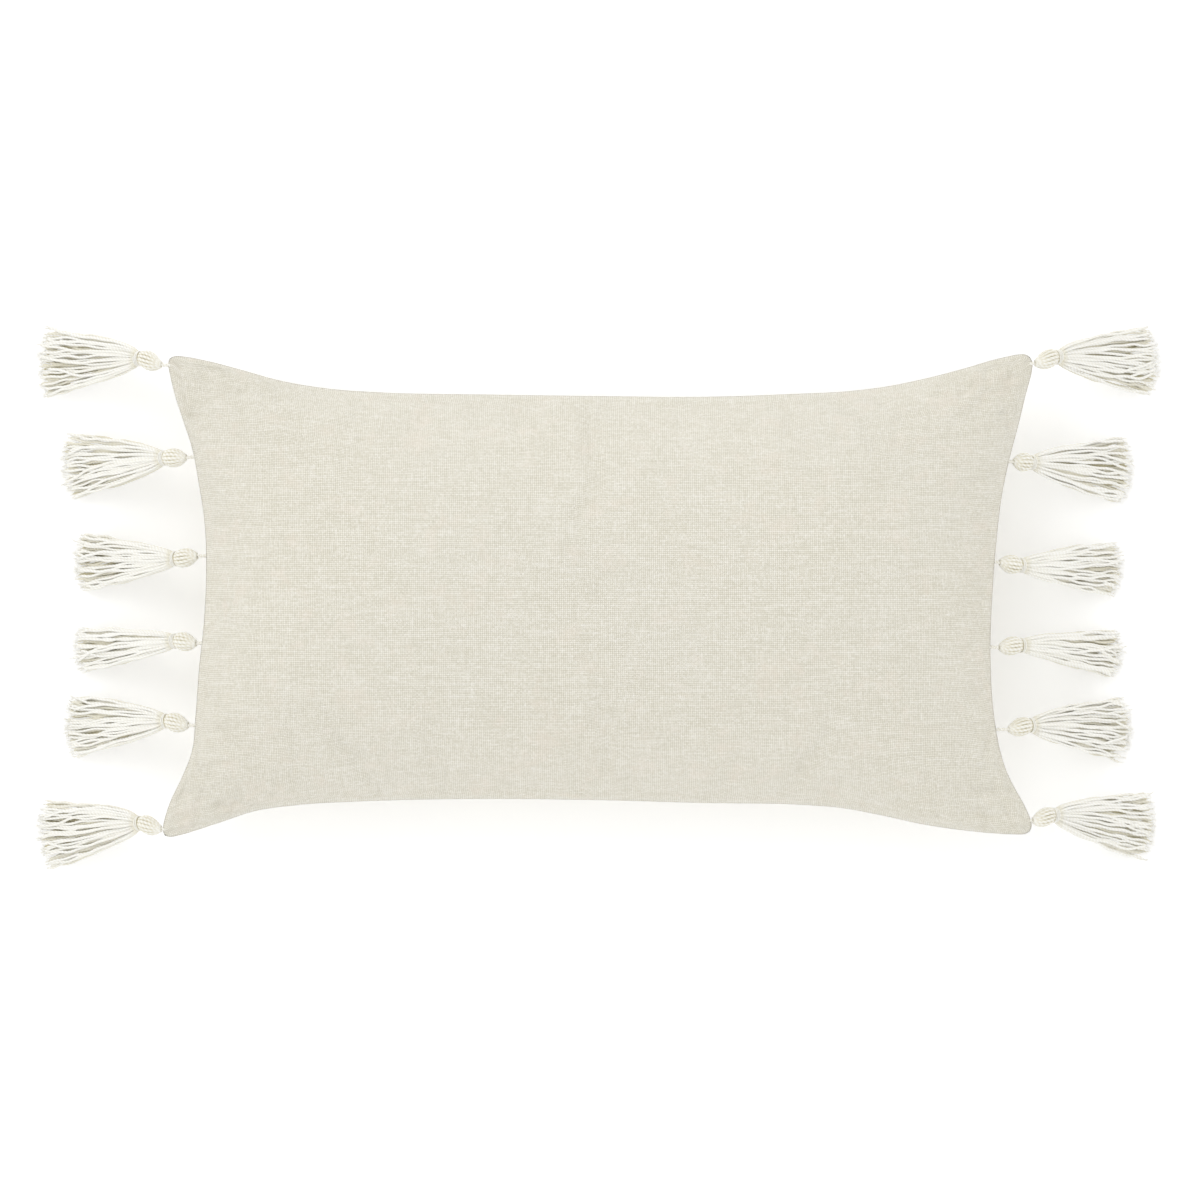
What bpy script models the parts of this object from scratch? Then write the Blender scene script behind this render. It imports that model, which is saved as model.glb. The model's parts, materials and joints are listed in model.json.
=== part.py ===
"""A rectangular knife-edge throw pillow with twelve yarn tassels, lying on its back.

The frame is in metres with +Z up. The origin is on the surface that the pillow lies on, under
its middle. +X runs along the long sides and +Y across them. The cover is two woven panels that
meet at a seam all round, with a concealed zip just under the seam of the -Y side. Inside it is
a sewn casing full of fibre. Six tassels hang from each short side and rest on the surface.
"""

import math

import bmesh
import bpy
from mathutils import Vector

# The filled cover
LENGTH = 0.600  # corner to corner, along X
WIDTH = 0.330  # corner to corner, along Y
SHORT_SIDE_DIP = 0.027  # how far the middle of a short side is drawn in
LONG_SIDE_DIP = 0.025  # how far the middle of a long side is drawn in
FRONT_LOFT = 0.086  # crown of the front over the seam
BACK_LOFT = 0.086  # what the back would reach below the seam if nothing flattened it
SEAM_HEIGHT = 0.062  # seam over the surface that the pillow lies on
REST_BLEND = 0.010  # height band in which the back turns from free to lying flat
FABRIC = 0.0012  # cover fabric
GAP = 0.0003  # between pieces that touch

# How each curve bends: a larger power stays straight for longer and then turns faster
SHORT_SIDE_CURVE = 2.2
LONG_SIDE_CURVE = 5.0
LENGTH_CURVE = 3.5
WIDTH_CURVE = 2.0
EDGE_CURVE = 0.7
RIM_WIDEN = 1.15  # a sloping sheet is this much wider than it is thick where it meets the seam

# The insert
INSERT_FIT = 0.0025  # room between the cover and the casing
INSERT_END_GAP = 0.012  # from the cover's seam to the casing's, at the short sides
INSERT_ZIP_ROOM = 0.003  # room between the zip's tapes and the casing
LINING = 0.0008  # casing fabric
FILL_FIT = 0.0005  # room between the casing and the fibre
FILL_EDGE_GAP = 0.004  # how far the fibre stays out of the casing's seam

# The concealed zip
ZIP_LENGTH = 0.330
ZIP_DROP = 0.012  # below the seam
ZIP_SLOT = 0.0022
CHAIN_WIDTH = 0.004
CHAIN_THICKNESS = 0.0016
TAPE_WIDTH = 0.008
TAPE_THICKNESS = 0.0006
TAPE_EXTRA = 0.004  # tape past each end of the chain
RUNNING_GAP = 0.0004
SLIDER_LENGTH = 0.009
SLIDER_WALL = 0.0009
NECK_WIDTH = 0.0024
NECK_THICKNESS = 0.0012
EYE_RADIUS = 0.0011
EYE_WALL = 0.0007
STOP_LENGTH = 0.003
STOP_WALL = 0.0005
PULL_LENGTH = 0.020
PULL_WIDTH = 0.0074
PULL_THICKNESS = 0.001
PULL_ARM = 0.0012

# The tassels
TASSEL_REACH = 0.092  # from the cord's bend to the end of the skirt, seen from above
CORD_BEND = 0.0022  # from the seam to where the cord bends
CORD_BEHIND = 0.0012  # from the bend back towards the seam
CORD_TIP_LENGTH = 0.0015
CORD_LENGTH = 0.0055  # from the bend to the head
KNOT_GAP = 0.0007  # between the cord and the head, which turn on each other
CORD_RADIUS = 0.0016
HEAD_LENGTH = 0.0145
HEAD_RADIUS = 0.0068
NECK_RADIUS = 0.0044
NECK_LENGTH = 0.004
WRAP_RADIUS = 0.0011  # half of the wrap's thickness
WRAP_HALF_LENGTH = 0.0019
SKIRT_THICKNESS = 0.0072  # at its end

# Each row of tassels: where it hangs on the left side and on the right side as a share of half
# the width, how far its end lies from straight out, and how wide its skirt spreads
TASSEL_ROWS = (
    (0.976, 0.982, 0.003, 0.048),
    (0.588, 0.570, -0.006, 0.046),
    (0.173, 0.146, -0.005, 0.040),
    (-0.194, -0.212, -0.005, 0.032),
    (-0.540, -0.558, -0.001, 0.044),
    (-0.976, -0.942, -0.006, 0.048),
)

# Fineness of the meshes
GRID_COLUMNS = 22
GRID_ROWS = 14
BUNDLE_SIDES = 10
CORD_SIDES = 6
WRAP_STEPS = 12
WRAP_SIDES = 6
EYE_SIDES = 16

LEFT, RIGHT = -1, 1
FRONT, BACK = 1, -1


def material(name, colour, roughness, metallic=0.0):
    """A Principled material."""
    made = bpy.data.materials.new(name)
    made.use_nodes = True
    shader = made.node_tree.nodes["Principled BSDF"]
    shader.inputs["Base Color"].default_value = (*colour, 1.0)
    shader.inputs["Roughness"].default_value = roughness
    shader.inputs["Metallic"].default_value = metallic
    return made


def add_object(name, mesh_maker, surface, origin=(0, 0, 0)):
    """An object of the closed mesh that is in a bmesh, with its faces turned outwards."""
    bmesh.ops.recalc_face_normals(mesh_maker, faces=mesh_maker.faces)
    if mesh_maker.calc_volume(signed=True) < 0:
        bmesh.ops.reverse_faces(mesh_maker, faces=mesh_maker.faces)
    mesh = bpy.data.meshes.new(name)
    for vertex in mesh_maker.verts:
        vertex.co -= Vector(origin)
    mesh_maker.to_mesh(mesh)
    mesh_maker.free()
    mesh.shade_smooth()
    mesh.set_sharp_from_angle(angle=math.radians(50))
    mesh.materials.append(surface)
    made = bpy.data.objects.new(name, mesh)
    made.location = origin
    bpy.context.scene.collection.objects.link(made)
    return made


def keep_place(child, parent):
    """Parents one object to another without moving it."""
    child.parent = parent
    child.location = child.location - parent.location


# ---- The pillow's shape -------------------------------------------------------------------


def half_length(v):
    """Half of the seam's length, at the share v of the way from the middle to a long side."""
    return LENGTH / 2 - SHORT_SIDE_DIP * (1 - abs(v) ** SHORT_SIDE_CURVE)


def half_width(u):
    """Half of the seam's width, at the share u of the way from the middle to a short side."""
    return WIDTH / 2 - LONG_SIDE_DIP * (1 - abs(u) ** LONG_SIDE_CURVE)


def crown(u, v):
    """Share of the full loft: 1 in the middle and 0 on the seam."""
    along = max(1 - abs(u) ** LENGTH_CURVE, 0)
    across = max(1 - abs(v) ** WIDTH_CURVE, 0)
    return (along * across) ** EDGE_CURVE


def depth_inside_seam(drop):
    """How far in from a long side's seam the cover is, where it is this far below the seam."""
    share = (drop / BACK_LOFT) ** (1 / EDGE_CURVE)
    return half_width(0) * (1 - (1 - share) ** (1 / WIDTH_CURVE))


def at_rest(z, lowest):
    """The height that a point of the back takes once it lies on the surface."""
    over = z - lowest
    if over >= REST_BLEND:
        return z
    return lowest + max(over + REST_BLEND, 0) ** 2 / (4 * REST_BLEND)


def layer(side, depth, short_side_inset, long_side_inset):
    """One surface of the nested shells: its depth under the cover's face, and how far inside
    the cover's seam it starts."""
    loft = FRONT_LOFT if side == FRONT else BACK_LOFT

    def place(u, v):
        x = u * (half_length(v) - short_side_inset)
        y = v * (half_width(u) - long_side_inset)
        z = SEAM_HEIGHT + side * (GAP / 2 + (loft - depth) * crown(u, v))
        return Vector((x, y, at_rest(z, depth)))

    return place


def even_layer(side, depth):
    """A layer that starts equally far in on every side."""
    inset = depth * RIM_WIDEN
    return layer(side, depth, inset, inset)


def insert_layer(side, depth, edge_gap=0):
    """A layer of the insert: depth under the casing's face, and its extra room at the seam."""
    inset = depth * RIM_WIDEN + edge_gap
    under_cover = FABRIC + INSERT_FIT + depth
    return layer(side, under_cover, INSERT_END_GAP + inset, insert_side_gap() + inset)


def two_sheet_body(name, first, second, surface):
    """A closed body between two sheets that share one grid and are joined round their rims."""
    maker = bmesh.new()
    for sheet in (first, second):
        made = bmesh.ops.create_grid(
            maker, x_segments=GRID_COLUMNS, y_segments=GRID_ROWS, size=1
        )
        for vertex in made["verts"]:
            # finer towards the seam, where the cover bends most
            u = math.sin(vertex.co.x * math.pi / 2)
            v = math.sin(vertex.co.y * math.pi / 2)
            vertex.co = sheet(u, v)
    maker.verts.ensure_lookup_table()
    half = len(maker.verts) // 2
    rim = [edge for edge in maker.edges if edge.is_boundary and edge.verts[0].index < half]
    for edge in rim:
        a, b = edge.verts
        maker.faces.new((a, b, maker.verts[b.index + half], maker.verts[a.index + half]))
    return add_object(name, maker, surface)


# ---- Simple solids ------------------------------------------------------------------------


def loft(maker, rings, closed=False):
    """Faces through rings of points, with a cap on each end unless the rings close up."""
    rows = [[maker.verts.new(point) for point in ring] for ring in rings]
    pairs = list(zip(rows, rows[1:]))
    if closed:
        pairs.append((rows[-1], rows[0]))
    for near, far in pairs:
        for i in range(len(near)):
            j = (i + 1) % len(near)
            maker.faces.new((near[i], near[j], far[j], far[i]))
    if not closed:
        maker.faces.new(rows[0])
        maker.faces.new(rows[-1])


def oval(centre, across, upwards, half_wide, half_high, sides):
    """Points round an oval in the plane of two unit vectors."""
    turns = [2 * math.pi * i / sides for i in range(sides)]
    return [
        centre + across * half_wide * math.cos(a) + upwards * half_high * math.sin(a)
        for a in turns
    ]


def bar(maker, outline, x_from, x_to):
    """A solid of one (y, z) outline, run along X."""
    loft(maker, [[Vector((x, y, z)) for y, z in outline] for x in (x_from, x_to)])


def box_outline(y_from, y_to, z_from, z_to):
    """The (y, z) corners of a rectangle."""
    return [(y_from, z_from), (y_to, z_from), (y_to, z_to), (y_from, z_to)]


def helper(name, maker, origin=(0, 0, 0)):
    """A solid that only takes part in a Boolean."""
    made = add_object(name, maker, MATERIALS["helper"], origin)
    made.hide_render = True
    made.display_type = "WIRE"
    return made


def join(target, operation, other, solver="EXACT"):
    """A Boolean of two closed meshes."""
    step = target.modifiers.new(other.name, "BOOLEAN")
    step.operation = operation
    step.solver = solver
    step.object = other


# ---- The zip ------------------------------------------------------------------------------

# Heights and depths are measured at the middle of the -Y side


def zip_z():
    return SEAM_HEIGHT - ZIP_DROP


def wall_y():
    """The cover's outer face at the height of the zip."""
    return -half_width(0) + depth_inside_seam(ZIP_DROP)


def channel_half_height(wall):
    """Half of the height of a clip that runs on the chain."""
    return CHAIN_THICKNESS / 2 + RUNNING_GAP + wall


def channel_front():
    """Front face of the slider's body, clear of the cover's inner face under the slot."""
    low = depth_inside_seam(ZIP_DROP + channel_half_height(SLIDER_WALL))
    return -half_width(0) + low + FABRIC * RIM_WIDEN + 2 * RUNNING_GAP


def chain_front():
    return channel_front() + SLIDER_WALL + RUNNING_GAP


def tape_front():
    return chain_front() + CHAIN_WIDTH + GAP


def insert_side_gap():
    """From the cover's seam to the casing's at the long sides: the zip's tapes lie between."""
    tape_back = tape_front() + TAPE_WIDTH + half_width(0)
    return tape_back + INSERT_ZIP_ROOM - depth_inside_seam(ZIP_DROP - CHAIN_THICKNESS)


def slider_x():
    """The slider rests by its end stop, with the zip closed."""
    return -(ZIP_LENGTH / 2 - STOP_LENGTH - RUNNING_GAP - SLIDER_LENGTH / 2)


def hinge_y():
    """Axis of the pull, with its eye clear of the cover at the end of the slider's travel."""
    outward = half_width(2 * slider_x() / LENGTH) - half_width(0)
    return wall_y() - outward - 2 * RUNNING_GAP - EYE_RADIUS - EYE_WALL


def channel_outline(wall):
    """A clip round the chain, open to the tapes behind it."""
    half = channel_half_height(wall)
    inner = half - wall
    front = chain_front() - RUNNING_GAP - wall
    back = chain_front() + CHAIN_WIDTH + RUNNING_GAP
    z = zip_z()
    return [
        (front, z - half),
        (back, z - half),
        (back, z - inner),
        (front + wall, z - inner),
        (front + wall, z + inner),
        (back, z + inner),
        (back, z + half),
        (front, z + half),
    ]


def round_bar(maker, radius, half_long):
    """A round bar along X on the pull's axis."""
    centre = Vector((slider_x(), hinge_y(), zip_z()))
    across, upwards, along = Vector((0, 1, 0)), Vector((0, 0, 1)), Vector((half_long, 0, 0))
    loft(
        maker,
        [
            oval(centre + along * end, across, upwards, radius, radius, EYE_SIDES)
            for end in (-1, 1)
        ],
    )


def make_tapes_and_chain():
    """Two tapes behind the closed chain, one over the other."""
    chain = bmesh.new()
    outline = box_outline(
        chain_front(),
        chain_front() + CHAIN_WIDTH,
        zip_z() - CHAIN_THICKNESS / 2,
        zip_z() + CHAIN_THICKNESS / 2,
    )
    bar(chain, outline, -ZIP_LENGTH / 2, ZIP_LENGTH / 2)
    add_object("zipper_chain", chain, MATERIALS["zip_coil"])
    for name, side in (("zipper_tape_front", FRONT), ("zipper_tape_back", BACK)):
        tape = bmesh.new()
        near, far = side * GAP / 2, side * (GAP / 2 + TAPE_THICKNESS)
        outline = box_outline(
            tape_front(), tape_front() + TAPE_WIDTH, zip_z() + near, zip_z() + far
        )
        half = ZIP_LENGTH / 2 + TAPE_EXTRA
        bar(tape, outline, -half, half)
        add_object(name, tape, MATERIALS["zip_tape"])


def make_stops():
    """A metal clip on each end of the chain, which stops the slider."""
    for name, side in (("zipper_stop_left", LEFT), ("zipper_stop_right", RIGHT)):
        stop = bmesh.new()
        end = side * ZIP_LENGTH / 2
        bar(stop, channel_outline(STOP_WALL), end - side * STOP_LENGTH, end)
        add_object(name, stop, MATERIALS["zip_metal"])


def make_slider():
    """The slider: a clip on the chain, and a neck through the slot with an eye for the pull."""
    middle = slider_x()
    origin = (middle, hinge_y(), zip_z())
    body = bmesh.new()
    bar(body, channel_outline(SLIDER_WALL), middle - SLIDER_LENGTH / 2, middle + SLIDER_LENGTH / 2)
    slider = add_object("zipper_slider", body, MATERIALS["zip_metal"], origin)

    neck = bmesh.new()
    half = NECK_THICKNESS / 2
    reach = channel_front() + SLIDER_WALL / 2
    outline = box_outline(hinge_y(), reach, zip_z() - half, zip_z() + half)
    bar(neck, outline, middle - NECK_WIDTH / 2, middle + NECK_WIDTH / 2)
    join(slider, "UNION", helper("slider_neck", neck))

    eye = bmesh.new()
    round_bar(eye, EYE_RADIUS + EYE_WALL, NECK_WIDTH / 2)
    join(slider, "UNION", helper("slider_eye", eye))

    bore = bmesh.new()
    round_bar(bore, EYE_RADIUS, NECK_WIDTH)
    join(slider, "DIFFERENCE", helper("slider_bore", bore))
    return slider


def make_pull(slider):
    """A drop-shaped tab that hangs from the slider's eye by a bar in its window."""
    origin = Vector((slider_x(), hinge_y(), zip_z()))
    half_bar = PULL_THICKNESS / 2
    window = NECK_WIDTH / 2 + RUNNING_GAP
    shoulder = window + PULL_ARM
    window_foot = EYE_RADIUS + EYE_WALL + 3 * RUNNING_GAP
    drop = [(-shoulder, half_bar), (-shoulder, -window_foot)]
    bottom = PULL_LENGTH - PULL_WIDTH / 2
    for step in range(EYE_SIDES // 2 + 1):
        angle = math.pi * step / (EYE_SIDES // 2)
        across = -PULL_WIDTH / 2 * math.cos(angle)
        drop.append((across, -bottom - PULL_WIDTH / 2 * math.sin(angle)))
    drop += [(shoulder, -window_foot), (shoulder, half_bar)]
    tab = bmesh.new()
    loft(tab, [[origin + Vector((x, y, z)) for x, z in drop] for y in (-half_bar, half_bar)])
    pull = add_object("zipper_pull_tab", tab, MATERIALS["zip_metal"], origin)

    opening = bmesh.new()
    deep = 2 * PULL_THICKNESS
    outline = box_outline(
        origin.y - deep, origin.y + deep, origin.z - window_foot, origin.z - half_bar
    )
    bar(opening, outline, origin.x - window, origin.x + window)
    join(pull, "DIFFERENCE", helper("pull_window", opening))
    keep_place(pull, slider)


def make_zip():
    make_tapes_and_chain()
    make_stops()
    make_pull(make_slider())


# ---- The cover and the insert -------------------------------------------------------------


def make_cover():
    """Two panels, with the zip's slot in the back one."""
    fabric = MATERIALS["cover_fabric"]
    for name, side in (("cover_front_panel", FRONT), ("cover_back_panel", BACK)):
        two_sheet_body(name, even_layer(side, 0), even_layer(side, FABRIC), fabric)
    slot = bmesh.new()
    outline = box_outline(
        -WIDTH / 2, channel_front(), zip_z() - ZIP_SLOT / 2, zip_z() + ZIP_SLOT / 2
    )
    bar(slot, outline, -ZIP_LENGTH / 2, ZIP_LENGTH / 2)
    # the exact solver turns so thin a dished shell inside out
    back = bpy.data.objects["cover_back_panel"]
    join(back, "DIFFERENCE", helper("zip_slot", slot), "MANIFOLD")


def make_insert():
    """A casing of two panels, and the fibre that fills it."""
    lining = MATERIALS["insert_lining"]
    for name, side in (("insert_casing_front", FRONT), ("insert_casing_back", BACK)):
        two_sheet_body(name, insert_layer(side, 0), insert_layer(side, LINING), lining)
    under_lining = LINING + FILL_FIT
    two_sheet_body(
        "insert_fibre_fill",
        insert_layer(FRONT, under_lining, FILL_EDGE_GAP),
        insert_layer(BACK, under_lining, FILL_EDGE_GAP),
        MATERIALS["fibre_fill"],
    )


# ---- The tassels --------------------------------------------------------------------------


class Tassel:
    """One tassel's centre line: from its bend out, down, and onto the surface."""

    def __init__(self, side, share, lean):
        start = Vector((side * half_length(share), share * WIDTH / 2, SEAM_HEIGHT))
        start.x += side * CORD_BEND
        end = start + Vector((side * TASSEL_REACH, lean, 0))
        end.z = SKIRT_THICKNESS / 2
        out = (end - start) / 3
        out.z = 0
        fall = start.z - end.z
        self.root = start
        self.knots = (
            start,
            start + out - Vector((0, 0, fall * 0.20)),
            start + out * 2 - Vector((0, 0, fall * 0.82)),
            end,
        )
        flat = out.normalized()
        self.across = Vector((-flat.y, flat.x, 0))
        steps = 60
        points = [self.bezier(i / steps) for i in range(steps + 1)]
        self.length = sum((b - a).length for a, b in zip(points, points[1:]))

    def bezier(self, t):
        a, b, c, d = self.knots
        s = 1 - t
        return a * s**3 + b * (3 * s * s * t) + c * (3 * s * t * t) + d * t**3

    def frame(self, distance):
        """The centre, and the direction across the tassel's thickness, this far from the seam."""
        t = distance / self.length
        here = self.bezier(t)
        along = self.bezier(min(t + 0.01, 1)) - self.bezier(max(t - 0.01, 0))
        return here, self.across.cross(along).normalized()

    def ring(self, distance, half_wide, half_thick, sides):
        here, upwards = self.frame(distance)
        return oval(here, self.across, upwards, half_wide, half_thick, sides)


def make_cord(name, tassel):
    """The short cord from the seam to the top of the head, with its origin where it bends."""
    maker = bmesh.new()
    stations = [
        (-CORD_BEHIND, CORD_RADIUS),
        (0, CORD_RADIUS),
        (CORD_LENGTH - CORD_TIP_LENGTH, CORD_RADIUS),
        (CORD_LENGTH, CORD_RADIUS * 0.6),
    ]
    loft(maker, [tassel.ring(s, radius, radius, CORD_SIDES) for s, radius in stations])
    return add_object(name, maker, MATERIALS["tassel_cord"], tassel.root)


def make_bundle(name, tassel, skirt_width):
    """Folded yarns: a round head, a tied neck and a skirt that spreads to its end."""
    head = CORD_LENGTH + KNOT_GAP
    neck = head + HEAD_LENGTH
    skirt = neck + NECK_LENGTH
    skirt_length = tassel.length - skirt
    stations = [
        (head, HEAD_RADIUS * 0.22, HEAD_RADIUS * 0.22),
        (head + HEAD_LENGTH * 0.15, HEAD_RADIUS * 0.80, HEAD_RADIUS * 0.80),
        (head + HEAD_LENGTH * 0.45, HEAD_RADIUS, HEAD_RADIUS),
        (head + HEAD_LENGTH * 0.80, HEAD_RADIUS * 0.85, HEAD_RADIUS * 0.85),
        (neck, NECK_RADIUS, NECK_RADIUS),
        (skirt, NECK_RADIUS, NECK_RADIUS),
    ]
    for share in (0.08, 0.25, 0.5, 0.75, 1):
        wide = NECK_RADIUS + (skirt_width / 2 - NECK_RADIUS) * share**0.8
        fullness = NECK_RADIUS * 1.35
        thick = fullness + (SKIRT_THICKNESS / 2 - fullness) * share
        stations.append((skirt + skirt_length * share, wide, thick))
    maker = bmesh.new()
    loft(maker, [tassel.ring(*station, BUNDLE_SIDES) for station in stations])
    pivot, _ = tassel.frame(CORD_LENGTH)
    return add_object(name, maker, MATERIALS["tassel_yarn"], pivot)


def make_wrap(name, tassel):
    """The binding thread round the neck."""
    middle = CORD_LENGTH + KNOT_GAP + HEAD_LENGTH + NECK_LENGTH / 2
    centre, upwards = tassel.frame(middle)
    along = upwards.cross(tassel.across)
    reach = NECK_RADIUS + GAP + WRAP_RADIUS
    rings = []
    for step in range(WRAP_STEPS):
        angle = 2 * math.pi * (step + 0.5) / WRAP_STEPS
        outward = tassel.across * math.cos(angle) + upwards * math.sin(angle)
        ring_centre = centre + outward * reach
        rings.append(
            oval(ring_centre, outward, along, WRAP_RADIUS, WRAP_HALF_LENGTH, WRAP_SIDES)
        )
    maker = bmesh.new()
    loft(maker, rings, closed=True)
    pivot, _ = tassel.frame(CORD_LENGTH)
    return add_object(name, maker, MATERIALS["tassel_wrap"], pivot)


def make_tassels():
    """Six tassels on each short side, counted from the +Y corner."""
    for row, (left_share, right_share, lean, skirt_width) in enumerate(TASSEL_ROWS, 1):
        for word, side, share in (("left", LEFT, left_share), ("right", RIGHT, right_share)):
            name = f"tassel_{word}_{row}"
            tassel = Tassel(side, share, lean)
            cord = make_cord(f"{name}_cord", tassel)
            keep_place(make_bundle(f"{name}_yarn_bundle", tassel, skirt_width), cord)
            keep_place(make_wrap(f"{name}_neck_wrap", tassel), cord)


for old in list(bpy.data.objects):
    bpy.data.objects.remove(old, do_unlink=True)

MATERIALS = {
    "cover_fabric": material("cover_fabric", (0.76, 0.74, 0.64), 0.95),
    "insert_lining": material("insert_lining", (0.86, 0.86, 0.84), 0.9),
    "fibre_fill": material("fibre_fill", (0.92, 0.92, 0.91), 1.0),
    "tassel_yarn": material("tassel_yarn", (0.88, 0.87, 0.82), 0.95),
    "tassel_cord": material("tassel_cord", (0.85, 0.84, 0.78), 0.95),
    "tassel_wrap": material("tassel_wrap", (0.86, 0.85, 0.79), 0.9),
    "zip_tape": material("zip_tape", (0.82, 0.80, 0.72), 0.9),
    "zip_coil": material("zip_coil", (0.84, 0.82, 0.75), 0.45),
    "zip_metal": material("zip_metal", (0.80, 0.78, 0.70), 0.35),
    "helper": material("helper", (0.5, 0.5, 0.5), 1.0),
}

make_cover()
make_insert()
make_zip()
make_tassels()
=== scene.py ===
"""The looks of a throw pillow with twelve yarn tassels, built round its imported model.

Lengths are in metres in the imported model's frame, with +Z up. +X is the pillow's long side.
"""

import json
import math

import bmesh
import bpy
import numpy as np
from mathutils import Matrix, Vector


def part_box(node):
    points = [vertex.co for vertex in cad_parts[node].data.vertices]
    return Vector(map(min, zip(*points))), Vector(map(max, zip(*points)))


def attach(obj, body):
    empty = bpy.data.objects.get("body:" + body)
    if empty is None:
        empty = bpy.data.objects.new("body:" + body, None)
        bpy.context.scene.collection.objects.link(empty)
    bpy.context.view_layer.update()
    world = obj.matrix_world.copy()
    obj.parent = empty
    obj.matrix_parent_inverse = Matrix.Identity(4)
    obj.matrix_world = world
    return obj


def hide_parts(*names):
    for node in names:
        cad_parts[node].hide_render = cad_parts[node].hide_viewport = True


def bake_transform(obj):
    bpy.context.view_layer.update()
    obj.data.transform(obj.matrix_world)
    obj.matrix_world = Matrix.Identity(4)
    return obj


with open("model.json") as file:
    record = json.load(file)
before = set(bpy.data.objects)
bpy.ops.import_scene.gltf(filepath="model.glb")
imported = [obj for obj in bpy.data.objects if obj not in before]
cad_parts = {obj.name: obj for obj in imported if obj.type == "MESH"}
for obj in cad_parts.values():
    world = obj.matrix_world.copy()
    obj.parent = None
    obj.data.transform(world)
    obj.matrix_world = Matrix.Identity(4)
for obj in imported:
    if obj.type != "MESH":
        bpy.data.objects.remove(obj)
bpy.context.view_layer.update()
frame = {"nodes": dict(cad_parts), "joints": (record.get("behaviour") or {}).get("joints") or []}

scene = bpy.context.scene

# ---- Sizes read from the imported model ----

front_low, front_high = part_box("cover_front_panel")
back_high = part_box("cover_back_panel")[1]
SEAM_HEIGHT = (front_low.z + back_high.z) / 2
SEAM_GAP = (front_low.z - back_high.z) / 2
HALF_LENGTH = front_high.x
HALF_WIDTH = front_high.y
LOFT = front_high.z - SEAM_HEIGHT

# ---- The cover's shape ----

# The crown's powers: how square it is along and across, and how steeply it leaves the seam
LENGTH_CURVE = 3.5
WIDTH_CURVE = 2.0
EDGE_CURVE = 0.7
REST_BLEND = 0.010  # height over which the back flattens on the surface
CORNER_RADIUS = 0.008

COVER_THICKNESS = 0.0012
LINING_THICKNESS = 0.0006
LINING_DEPTH = 0.0045  # of the casing's face under the cover's
FIBRE_DEPTH = LINING_DEPTH + LINING_THICKNESS + 0.001

# Each side of the seam, as (share of the way along it, millimetres out from the middle)
LEFT_SIDE = (
    (-1.0, 303), (-0.95, 302), (-0.84, 296.5), (-0.76, 290), (-0.64, 282), (-0.5, 279.5),
    (-0.3, 277), (-0.1, 273.5), (0.1, 272), (0.3, 273), (0.48, 277.5), (0.62, 282),
    (0.72, 287.5), (0.82, 293), (0.96, 298.5), (1.0, 299.5),
)
RIGHT_SIDE = (
    (-1.0, 302), (-0.94, 300.5), (-0.87, 295.5), (-0.8, 289), (-0.73, 283.5), (-0.64, 279),
    (-0.5, 275), (-0.26, 272.5), (0.03, 274), (0.22, 276.5), (0.4, 280), (0.55, 285),
    (0.72, 292.5), (0.82, 296.5), (0.94, 301.5), (1.0, 302),
)
TOP_SIDE = (
    (-1.0, 168), (-0.95, 166.5), (-0.9, 163.5), (-0.83, 158), (-0.74, 150.5), (-0.62, 144.5),
    (-0.5, 142), (-0.25, 140.5), (0.0, 139.5), (0.25, 139), (0.45, 141), (0.58, 143),
    (0.66, 146), (0.75, 151.5), (0.84, 158.5), (0.92, 165.5), (0.97, 168.5), (1.0, 169),
)
BOTTOM_SIDE = (
    (-1.0, 168), (-0.96, 165.5), (-0.87, 157), (-0.79, 149), (-0.69, 144.5), (-0.55, 142),
    (-0.37, 140.5), (0.0, 141), (0.24, 143), (0.48, 144.5), (0.56, 146.5), (0.65, 151.5),
    (0.75, 158), (0.84, 162), (0.93, 164.5), (1.0, 165),
)

# Under the seam the zip's side runs in by this much, and over this height it takes that line
ZIP_SIDE_DIP = 0.025
ZIP_SIDE_CURVE = 5.0
ZIP_SIDE_HEIGHT = 0.009


def smooth(share):
    """A share from 0 to 1, eased at both ends."""
    return share**2 * (3 - 2 * share)


def curve_through(points):
    """A smooth function through (share, millimetres) points."""
    at, out = np.transpose(points)
    out = out / 1000
    slope = np.gradient(out, at)

    def value(share):
        i = np.clip(np.searchsorted(at, share) - 1, 0, len(at) - 2)
        span = at[i + 1] - at[i]
        t = np.clip((share - at[i]) / span, 0, 1)
        a, b, da, db = out[i], out[i + 1], slope[i] * span, slope[i + 1] * span
        return (
            a * (2 * t**3 - 3 * t**2 + 1)
            + b * (3 * t**2 - 2 * t**3)
            + da * (t**3 - 2 * t**2 + t)
            + db * (t**3 - t**2)
        )

    return value


left_edge = curve_through(LEFT_SIDE)
right_edge = curve_through(RIGHT_SIDE)
top_edge = curve_through(TOP_SIDE)
bottom_edge = curve_through(BOTTOM_SIDE)


def share_grid(columns, rows):
    """Grids of u and v from -1 to 1, a little closer together towards the seam."""
    even = (np.linspace(-1, 1, count + 1) for count in (columns, rows))
    return np.meshgrid(*(0.45 * s + 0.55 * np.sin(s * np.pi / 2) for s in even))


def round_corners(u, v):
    """Draws the four tips of the square in to small arcs."""
    dx = CORNER_RADIUS - (1 - np.abs(u)) * HALF_LENGTH
    dy = CORNER_RADIUS - (1 - np.abs(v)) * HALF_WIDTH
    inside = (dx > 0) & (dy > 0)
    reach = np.hypot(dx, dy)
    shrink = np.where(inside, np.maximum(dx, dy) / np.maximum(reach, 1e-9), 1)
    new_u = 1 - (CORNER_RADIUS - dx * shrink) / HALF_LENGTH
    new_v = 1 - (CORNER_RADIUS - dy * shrink) / HALF_WIDTH
    return np.sign(u) * new_u, np.sign(v) * new_v


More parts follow.
